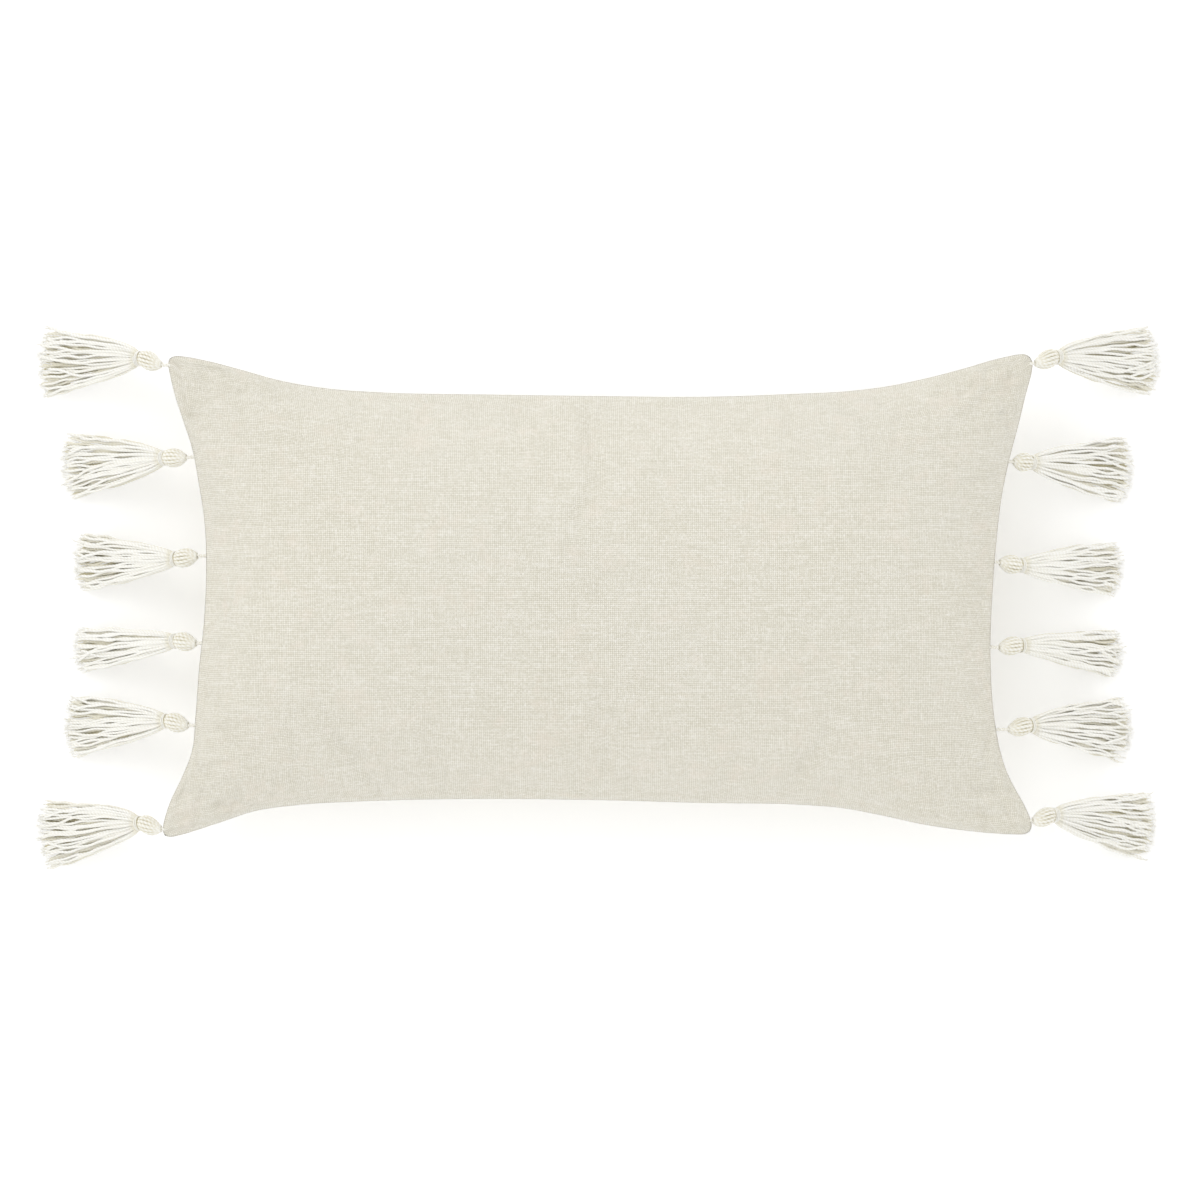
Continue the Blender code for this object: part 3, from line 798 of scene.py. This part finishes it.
class Tassel:
    """One tassel's centre line, from the bend in its cord to the end of its skirt."""

    def __init__(self, side, start, lean, bow):
        self.start = np.array(start, float)
        self.bow = bow
        end = self.start + (side * TASSEL_REACH, lean, 0)
        end[2] = SKIRT_THICKNESS / 2
        out = (end - self.start) / 3
        out[2] = 0
        fall = self.start[2] - end[2]
        down = np.array((0, 0, -1.0))
        self.knots = (
            self.start,
            self.start + out + down * fall * 0.20,
            self.start + out * 2 + down * fall * 0.82,
            end,
        )
        self.out = unit(out)
        self.across = np.array((-self.out[1], self.out[0], 0))
        points = self.bezier(np.linspace(0, 1, 61))
        self.length = np.linalg.norm(np.diff(points, axis=0), axis=1).sum()

    def bezier(self, t):
        t = np.asarray(t, float)[..., None]
        a, b, c, d = self.knots
        s = 1 - t
        return a * s**3 + b * (3 * s * s * t) + c * (3 * s * t * t) + d * t**3

    def frame(self, distance):
        """Centres and upward directions at these distances from the bend."""
        t = np.asarray(distance, float) / self.length
        centre = self.bezier(t)
        # the bow is widest a fifth of the way along
        bend = smooth(np.clip(t / 0.2, 0, 1)) * (1 - smooth(np.clip((t - 0.2) / 0.8, 0, 1)))
        centre = centre + bend[..., None] * np.array((0, self.bow, 0))
        along = self.bezier(np.minimum(t + 0.01, 1)) - self.bezier(np.maximum(t - 0.01, 0))
        return centre, unit(np.cross(along, self.across))

    def at(self, distance, sideways, upwards):
        """Points this far along, across and up from the centre line."""
        centre, up = self.frame(distance)
        return centre + self.across * sideways[..., None] + up * upwards[..., None]


class Tubes:
    """Collects many tubes in one mesh, with a UV map and a tone for each vertex."""

    def __init__(self):
        self.points, self.faces, self.uvs, self.tones = [], [], [], []
        self.count = 0

    def add(self, paths, radii, sides, twist=0, lobe=0, tint=0.5, depth=0.0, groove_shade=None):
        """Tubes along (tubes, stations, 3) paths, with two plies that twist round each other.

        groove_shade is a centre and a radius for each station: inside that radius the tone takes
        painted shade, for the grooves between yarns.
        """
        tubes, stations = paths.shape[:2]
        radii = np.broadcast_to(radii, (tubes, stations))
        tint = np.broadcast_to(tint, tubes)
        depth = np.broadcast_to(depth, (tubes, stations))
        along = unit(np.gradient(paths, axis=1))
        across = np.zeros_like(paths)
        helper = np.where(np.abs(along[:, :1, 2:]) > 0.9, (1.0, 0, 0), (0, 0, 1.0))
        current = np.cross(along[:, 0], helper[:, 0])
        for station in range(stations):
            ahead = along[:, station]
            current = unit(current - ahead * (current * ahead).sum(-1, keepdims=True))
            across[:, station] = current
        up = np.cross(along, across)
        steps = np.linalg.norm(np.diff(paths, axis=1), axis=-1)
        distance = np.concatenate([np.zeros((tubes, 1)), np.cumsum(steps, axis=1)], axis=1)
        angle = np.arange(sides) * 2 * np.pi / sides
        phase = distance[..., None] * twist + tint[:, None, None] * 40
        wave = np.cos(2 * (angle - phase))
        size = radii[..., None] * (1 + lobe * wave)
        ring = across[:, :, None] * np.cos(angle)[:, None] + up[:, :, None] * np.sin(angle)[:, None]
        points = paths[:, :, None] + ring * size[..., None]
        index = np.arange(tubes * stations * sides).reshape(tubes, stations, sides) + self.count
        near, far = index[:, :-1], index[:, 1:]
        quads = np.stack(
            [near, np.roll(near, -1, axis=2), np.roll(far, -1, axis=2), far], axis=-1
        )
        self.points.append(points.reshape(-1, 3))
        for faces in (quads.reshape(-1, 4), index[:, 0, ::-1], index[:, -1]):
            self.faces.extend(faces.tolist())
        self.count += tubes * stations * sides
        around = np.broadcast_to(angle * YARN_RADIUS, points.shape[:3])
        lengthwise = np.broadcast_to(distance[..., None], points.shape[:3])
        self.uvs.append(np.stack([around, lengthwise], axis=-1).reshape(-1, 2))
        # painted shade in the valley where the two plies meet
        painted_valley_shade = 0.5 - 0.5 * wave
        # the painted shade between yarns lies on the side that faces the layers above
        painted_depth_shade = depth[..., None] * np.clip(0.35 + ring[..., 2], 0.08, 1)
        if groove_shade:
            centre, reach = groove_shade
            away = np.linalg.norm(points - centre[:, None], axis=-1)
            sunk = np.clip((reach[:, None] - away) / radii[..., None], 0, 1)
            painted_depth_shade = np.maximum(painted_depth_shade, sunk)
        tone = np.stack([
            np.broadcast_to(tint[:, None, None], painted_valley_shade.shape),
            painted_valley_shade,
            painted_depth_shade,
            np.ones_like(painted_valley_shade),
        ], axis=-1)
        self.tones.append(tone.reshape(-1, 4))

    def piece(self, name, surface, uv_name="lengthwise"):
        mesh = make_mesh(name, np.concatenate(self.points), self.faces)
        set_uv(mesh, np.concatenate(self.uvs), uv_name)
        tone = mesh.color_attributes.new("tone", "FLOAT_COLOR", "POINT")
        tone.data.foreach_set("color", np.concatenate(self.tones).astype(np.float32).ravel())
        return add_piece(name, mesh, surface)


def head_profile(share):
    """Radius of the head's outside, from its top at 0 to its neck at 1."""
    at = (0, 0.08, 0.20, 0.34, 0.48, 0.62, 0.76, 0.90, 1.0)
    out = (0.30, 0.40, 0.62, 0.84, 0.97, 1.0, 0.95, 0.80, NECK_RADIUS / HEAD_RADIUS)
    return np.interp(share, at, out) * HEAD_RADIUS


def hub_places():
    """Where each yarn passes through the neck, from -1 to 1: a ring, then a filled disc."""
    turn = np.arange(OUTER_YARNS) * 2 * np.pi / OUTER_YARNS + 0.17
    spiral = np.arange(INNER_YARNS)
    reach = 0.72 * np.sqrt((spiral + 0.5) / INNER_YARNS)
    x = np.concatenate([np.cos(turn), np.cos(spiral * GOLDEN_ANGLE) * reach])
    y = np.concatenate([np.sin(turn), np.sin(spiral * GOLDEN_ANGLE) * reach])
    return x, y


def fan_out(hub_x, hub_y, rng):
    """Each yarn's layer, from 0 up, and its place in the skirt from side to side, -1 to 1."""
    layer = np.zeros(YARNS, int)
    layer[np.argsort(hub_y, kind="stable")] = np.arange(YARNS) * LAYERS // YARNS
    fan = np.zeros(YARNS)
    for level in range(LAYERS):
        members = np.flatnonzero(layer == level)
        members = members[np.argsort(hub_x[members], kind="stable")]
        places = (np.arange(len(members)) + 0.5 + 0.25 * (level % 2)) / len(members) * 2 - 1
        fan[members] = np.clip(places + rng.normal(0, 0.03, len(members)), -1, 1)
    return layer, fan


def skirt_paths(tassel, skirt, hub_x, hub_y, layer, fan, skirt_width, rng):
    """The yarns from the end of the collar to where they are cut."""

    def phase():
        return rng.uniform(0, TURN, (YARNS, 1))

    half = skirt_width / 2 - YARN_RADIUS
    end_shift = np.clip(fan + rng.normal(0, 0.05, YARNS), -1, 1) * half
    mid_shift = np.clip(fan + rng.normal(0, 0.06, YARNS), -1, 1) * half
    end_height = (layer - 1) * LAYER_HEIGHT + rng.normal(0, 0.0003, YARNS)
    share = np.linspace(0, 1, SKIRT_STATIONS)
    middle, _ = tassel.frame(skirt + (tassel.length - skirt) * share)
    from_above = np.linalg.norm((middle - middle[0])[:, :2], axis=1)
    from_above /= from_above[-1]
    reach = tassel.length - skirt + rng.normal(0.0, 0.0014, YARNS) - 0.0045
    reach -= 0.0065 * fan**2
    distance = skirt + reach[:, None] * share
    opened = from_above ** rng.uniform(0.54, 0.68)
    drift = share**2
    sideways = hub_x[:, None] * (1 - opened) + (
        mid_shift[:, None] * (1 - drift) + end_shift[:, None] * drift
    ) * opened
    wave = np.sin(share * rng.uniform(6, 13, (YARNS, 1)) + phase())
    wave += 0.45 * np.sin(share * rng.uniform(18, 30, (YARNS, 1)) + phase())
    # a few yarns of the top layer stray across the others
    stray = np.zeros(YARNS)
    on_top = np.flatnonzero(layer == LAYERS - 1)
    stray[rng.choice(on_top, 3, replace=False)] = rng.uniform(0.006, 0.013, 3)
    sideways += 0.0011 * share * wave - stray[:, None] * share**3 * np.sign(fan[:, None])
    end_height += np.where(stray > 0, 0.0018, 0)
    lift = hub_y[:, None] * (1 - share) ** 1.3 + end_height[:, None] * share
    lift += 0.0010 * share * (1 - share) * np.sin(share * 9 + phase())
    return tassel.at(distance, sideways, lift)


def add_wisps(tubes, paths, tint, rng):
    """Loose fibres where each yarn is cut."""
    ends = paths[:, -1]
    ahead = unit(ends - paths[:, -4])
    steps = np.linspace(0, 1, len(WISP_RADII))[None, :, None]
    scatter = rng.normal(0, 0.55, (YARNS, WISPS, 1, 3))
    length = rng.uniform(0.0015, 0.0042, (YARNS, WISPS, 1, 1))
    fly = ahead[:, None, None] * steps * length + scatter * length * steps**1.6 * 0.6
    fly = (ends[:, None, None] + fly).reshape(-1, len(WISP_RADII), 3)
    fly[..., 2] = np.maximum(fly[..., 2], 0.0003)
    tubes.add(fly, WISP_RADII, 4, tint=np.repeat(tint, WISPS))


def make_bundle(name, tassel, skirt_width, head_shown, rng):
    """Yarns folded over the cord: the head, then the skirt that they fan out into."""
    neck = CORD_LENGTH + KNOT_GAP + HEAD_LENGTH
    skirt = neck + COLLAR_LENGTH
    hub_x, hub_y = hub_places()
    layer, fan = fan_out(hub_x, hub_y, rng)
    hub = NECK_RADIUS - YARN_RADIUS
    paths = skirt_paths(tassel, skirt, hub * hub_x, hub * hub_y, layer, fan, skirt_width, rng)
    straight = np.ones((YARNS, COLLAR_STATIONS))
    collar = tassel.at(
        np.linspace(neck, skirt, COLLAR_STATIONS + 1)[:-1] * straight,
        hub * hub_x[:, None] * straight,
        hub * hub_y[:, None] * straight,
    )
    paths = np.concatenate([collar, paths], axis=1)
    # the ring's yarns start inside the head and come over its top
    ring_x, ring_y = hub_x[:OUTER_YARNS, None], hub_y[:OUTER_YARNS, None]
    over = np.linspace(0, 1, HEAD_STATIONS + 1)[:-1]
    along_head = neck - (1 - over) * head_shown
    ring = head_profile(over) - YARN_RADIUS * 1.3
    first = tassel.at(
        np.full((OUTER_YARNS, 1), neck - head_shown + 0.0024), ring_x * 0.0009, ring_y * 0.0009
    )
    head = tassel.at(
        np.broadcast_to(along_head, (OUTER_YARNS, HEAD_STATIONS)), ring * ring_x, ring * ring_y
    )
    outer_paths = np.concatenate([first, head, paths[:OUTER_YARNS]], axis=1)
    for group in (paths, outer_paths):
        group[..., 2] = np.maximum(group[..., 2], YARN_RADIUS * 1.12)

    tint = rng.uniform(0, 1, YARNS)
    size = YARN_RADIUS * rng.uniform(0.9, 1.08, YARNS)
    # painted shade: the lower layers are painted darker, as if in the shade of the upper ones, less
    # so at the skirt's sides
    shade = np.array((1.0, 0.5, 0.0))[layer] * (1 - 0.85 * np.abs(fan) ** 4)
    # painted shade where the skirt opens out of the collar
    painted_neck_shade = np.linspace(0.55, 0.08, 5)
    tubes = Tubes()
    head_end = HEAD_STATIONS + 1
    for members, lines, extra in (
        (slice(0, OUTER_YARNS), outer_paths, head_end),
        (slice(OUTER_YARNS, YARNS), paths[OUTER_YARNS:], 0),
    ):
        tubes_here, total = lines.shape[:2]
        radii = size[members, None] * np.ones((tubes_here, total))
        radii[:, -2:] *= (0.9, 0.5)
        radii[:, :extra] *= HEAD_FATTER
        depth = shade[members, None] * np.ones((tubes_here, total))
        opening = slice(extra + COLLAR_STATIONS, extra + COLLAR_STATIONS + 5)
        depth[:, opening] = np.maximum(depth[:, opening], painted_neck_shade)
        groove_shade = None
        if extra:
            # painted shade: a little over the head, and deep on the collar under the binding
            depth[:, :HEAD_STATIONS] = 0.06
            depth[:, HEAD_STATIONS : extra + COLLAR_STATIONS] = 0.85
            # painted shade in the grooves between the head's yarns
            centre, radius = np.zeros((total, 3)), np.zeros(total)
            centre[1:head_end] = tassel.frame(along_head)[0]
            radius[1:head_end] = head_profile(over) + YARN_RADIUS * 0.05
            groove_shade = (centre, radius)
        tubes.add(lines, radii, 10, YARN_TWIST, YARN_LOBE, tint[members], depth, groove_shade)
    add_wisps(tubes, paths, tint, rng)
    return tubes.piece(name, YARN_MATERIAL)


def make_wrap(name, tassel, rng):
    """The binding thread: a few close turns round the neck."""
    stations = 90
    start = CORD_LENGTH + KNOT_GAP + HEAD_LENGTH - 0.0003
    angle = np.linspace(0, 2 * np.pi * WRAP_TURNS, stations) + rng.uniform(0, TURN)
    distance = start + np.linspace(0.0001, WRAP_HEIGHT, stations)
    reach = NECK_RADIUS + 0.0005 + 0.0001 * np.sin(angle * 2.3)
    path = tassel.at(distance, reach * np.cos(angle), reach * np.sin(angle))[None]
    radii = np.full(stations, WRAP_RADIUS)
    radii[[0, -1]] = 0.0003
    tubes = Tubes()
    tubes.add(path, radii, 8, 2200, 0.14, rng.uniform(0, 1, 1))
    return tubes.piece(name, WRAP_MATERIAL)


def make_cord(name, tassel, rng):
    """Two strands that twist together, from inside the seam to the top of the head."""
    stations = 34
    distance = np.linspace(-0.0065, CORD_LENGTH + 0.0022, stations)
    centre, up = tassel.frame(np.maximum(distance, 0))
    centre = centre + np.minimum(distance, 0)[:, None] * tassel.out
    angle = distance * 1150 + rng.uniform(0, TURN)
    paths = []
    for turn in (0, np.pi):
        around = np.cos(angle + turn)[:, None] * tassel.across + np.sin(angle + turn)[:, None] * up
        paths.append(centre + around * STRAND_OFFSET)
    radii = np.full(stations, STRAND_RADIUS)
    radii[-6:] *= np.linspace(1, 0.7, 6)
    tubes = Tubes()
    # painted shade: the last argument darkens both strands a little
    tubes.add(np.array(paths), radii, 8, 1900, 0.12, rng.uniform(0, 1, 2), 0.1)
    return tubes.piece(name, CORD_MATERIAL)


joints = {joint["name"]: joint for joint in frame["joints"]}
for row, (lean, bow, skirt_width) in enumerate(TASSEL_ROWS, 1):
    for word, side in (("left", -1), ("right", 1)):
        stem = f"tassel_{word}_{row}"
        rng = np.random.default_rng(100 * row + side + 7)
        tassel = Tassel(side, joints[f"{stem}_lift"]["pos_m"], lean, bow)
        head_shown = HEAD_SHOWN - HEAD_SET_BACK.get((word, row), 0)
        bundle = make_bundle(f"{stem}_yarns", tassel, skirt_width, head_shown, rng)
        place(bundle, f"{stem}_body", "tassel_yarn", f"{stem}_yarn_bundle")
        wrap = make_wrap(f"{stem}_binding", tassel, rng)
        place(wrap, f"{stem}_body", "tassel_wrap", f"{stem}_neck_wrap")
        cord = make_cord(f"{stem}_loop", tassel, rng)
        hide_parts(f"{stem}_cord")
        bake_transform(cord)

# ---- The zip ----

ZIP_SLOT = 0.0022
LIP_RADIUS = 0.0008
LIP_STATIONS = 160
LIP_OVERRUN = 0.003  # how far the lips run past each end of the slit
COIL_WIRE = 0.00034
COIL_PITCH = 0.0013
COIL_STEPS = 10  # for each turn
TAPE_CORD = 0.0006  # the corded edge's place and width
TAPE_STRIPE = 0.0012

chain_low, chain_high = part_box("zipper_chain")
slot_z = (chain_low.z + chain_high.z) / 2


def cut_slot(piece):
    """The slit in the back panel that the zip closes."""
    maker = bmesh.new()
    bmesh.ops.create_cube(maker, size=1)
    size = Vector((chain_high.x - chain_low.x, 0.06, ZIP_SLOT))
    middle = Vector((0, chain_low.y - size.y / 2, slot_z))
    for vertex in maker.verts:
        vertex.co = vertex.co * size + middle
    cutter_mesh = bpy.data.meshes.new("slot")
    maker.to_mesh(cutter_mesh)
    maker.free()
    cutter = add_object("slot", cutter_mesh)
    step = piece.modifiers.new("slot", "BOOLEAN")
    step.operation = "DIFFERENCE"
    step.solver = "EXACT"
    step.object = cutter
    bpy.context.view_layer.update()
    view = piece.evaluated_get(bpy.context.evaluated_depsgraph_get())
    cut = bpy.data.meshes.new_from_object(view)
    piece.modifiers.clear()
    piece.data = cut
    bpy.data.objects.remove(cutter)


def wall_at(xs, z):
    """Where the back panel's -Y wall is at this height, for each x."""
    places = []
    for line in back_points[: len(back_points) // 2].transpose(1, 0, 2):
        line = line[np.argsort(line[:, 2])]
        places.append([np.interp(z, line[:, 2], line[:, axis]) for axis in (0, 1)])
    return np.interp(xs, *np.transpose(places))


def make_lip(name, z):
    """The turned edge of the fabric beside the slit."""
    half = (chain_high.x - chain_low.x) / 2 + LIP_OVERRUN
    xs = np.linspace(-half, half, LIP_STATIONS)
    path = np.stack([xs, wall_at(xs, z) + 0.0004, np.full_like(xs, z)], axis=-1)
    path[:, 2] += 0.00008 * np.sin(xs * 900)
    radii = np.full(LIP_STATIONS, LIP_RADIUS)
    radii[[0, -1]] *= 0.3
    tubes = Tubes()
    tubes.add(path[None], radii, 8)
    piece = tubes.piece(name, COVER_MATERIAL, "cut")
    place(piece, "root", "cover_fabric")
    return piece


def make_coil():
    """Two nylon coils whose turns lie between each other."""
    reach_y = (chain_high.y - chain_low.y) / 2 - COIL_WIRE
    reach_z = (chain_high.z - chain_low.z) / 2 - COIL_WIRE
    middle_y = (chain_low.y + chain_high.y) / 2
    length = chain_high.x - chain_low.x - 2 * COIL_WIRE
    steps = int(length / COIL_PITCH * COIL_STEPS)
    tubes = Tubes()
    for hand in (-1, 1):
        turn = np.arange(steps) * 2 * np.pi / COIL_STEPS + hand * np.pi / 2
        xs = chain_low.x + COIL_WIRE + np.linspace(0, length, steps)
        ys = middle_y + hand * reach_y * 0.33 + reach_y * 0.66 * np.cos(turn)
        path = np.stack([xs, ys, slot_z + reach_z * np.sin(turn)], axis=-1)
        tubes.add(path[None], COIL_WIRE, 5)
    place(tubes.piece("zip_coil", COIL_MATERIAL), "root", "zip_coil", "zipper_chain")


def make_tape(name, node):
    """A woven tape with a corded edge beside the coil."""
    low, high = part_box(node)
    xs = np.linspace(low.x, high.x, 240)
    ys = np.linspace(low.y, high.y, 17)
    x, y = np.meshgrid(xs, ys)
    half = (high.z - low.z) / 2
    edge = np.exp(-(((y - low.y - TAPE_CORD) / TAPE_CORD) ** 2))
    ribs = 0.06 * np.cos((y - low.y) * 2 * np.pi / TAPE_STRIPE)
    thick = half * (0.55 + 0.38 * edge + ribs * (1 - edge))
    middle = (low.z + high.z) / 2 + 0.05 * half * np.sin(x * 130)
    top = np.stack([x, y, np.minimum(middle + thick, high.z)], axis=-1)
    bottom = np.stack([x, y, np.maximum(middle - thick, low.z)], axis=-1)
    place(add_shell(name, top, bottom, False, TAPE_MATERIAL), "root", "zip_tape", node)


cut_slot(cover_back)
lip_offset = ZIP_SLOT / 2 + LIP_RADIUS
lips = [
    make_lip("zip_lip_upper", slot_z + lip_offset),
    make_lip("zip_lip_lower", slot_z - lip_offset),
]
make_coil()
make_tape("zip_tape_upper", "zipper_tape_front")
make_tape("zip_tape_lower", "zipper_tape_back")
for name in ("zipper_slider", "zipper_pull_tab", "zipper_stop_left", "zipper_stop_right"):
    surfaces = frame["nodes"][name].data.materials
    surfaces.clear()
    surfaces.append(ENAMEL_MATERIAL)

# ---- Stage, light and camera ----

scene.view_settings.view_transform = "Standard"

FLOOR_HALF = 60
floor_corners = [(x * FLOOR_HALF, y * FLOOR_HALF, 0) for x, y in ((-1, -1), (1, -1), (1, 1), (-1, 1))]
floor_mesh = bpy.data.meshes.new("floor")
floor_mesh.from_pydata(floor_corners, [], [(0, 1, 2, 3)])
paper = Nodes("floor_paper", 1.0)
paper.fill(
    paper.shader, Base_Color=(0.97, 0.97, 0.97, 1), Specular_IOR_Level=0.0,
    Emission_Color=(1, 1, 1, 1), Emission_Strength=0.16,
)
floor = add_piece("floor", floor_mesh, paper.material)
floor.location.z = -0.0004

world = bpy.data.worlds.new("studio")
scene.world = world
world.use_nodes = True
sky = world.node_tree.nodes["Background"].inputs
sky["Color"].default_value = (1, 1, 1, 1)
sky["Strength"].default_value = 1.0

KEY_PLACE = (-1.5, 1.8, 3.0)
key = bpy.data.lights.new("key", "AREA")
key.shape = "DISK"
key.size = 1.6
key.energy = 15
lamp = add_object("key", key)
lamp.location = KEY_PLACE
lamp.rotation_mode = "QUATERNION"
lamp.rotation_quaternion = (-Vector(KEY_PLACE)).to_track_quat("-Z", "Y")
lamp.visible_camera = False

CAMERA_HEIGHT = 6.0
VIEW_WIDTH = 0.833
SENSOR_WIDTH = 36
camera_data = bpy.data.cameras.new("camera")
camera_data.sensor_width = SENSOR_WIDTH
camera_data.lens = SENSOR_WIDTH * CAMERA_HEIGHT / VIEW_WIDTH
camera_data.clip_end = 100
camera = add_object("camera", camera_data)
camera.location = (0.0014, -0.0021, SEAM_HEIGHT + CAMERA_HEIGHT)
scene.camera = camera
